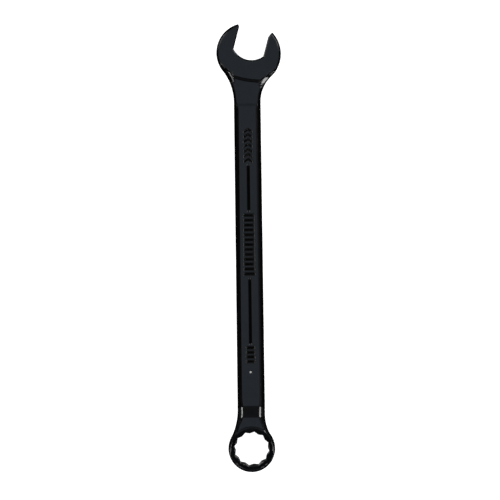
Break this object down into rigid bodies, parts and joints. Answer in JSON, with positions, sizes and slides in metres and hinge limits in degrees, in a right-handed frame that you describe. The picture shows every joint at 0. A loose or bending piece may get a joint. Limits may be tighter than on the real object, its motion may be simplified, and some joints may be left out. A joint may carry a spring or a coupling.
{
  "type": "combination wrench",
  "caption": "One-piece forged wrench: open jaws set at an angle on one end of a flat, round-edged shank, and a bent-back double-hexagon box ring on the other.",
  "frame": {"origin": "middle of the box end's twelve-point opening, halfway through the ring", "axes": "+Y runs along the shank to the open end, +X is across the shank on the short jaw's side, +Z leaves the marked face. The ring is bent back from the shank by 5 degrees about X, so its own axis leans towards -Y"},
  "size_m": [0.0404, 0.2815, 0.0138],
  "materials": {
    "black_finish": "semi-gloss black industrial coating over forged alloy steel, with a faint forged texture on the faces"
  },
  "bodies": {
    "root": {"open_end": "black_finish", "shank": "black_finish", "box_end": "black_finish"}
  },
  "joints": []
}
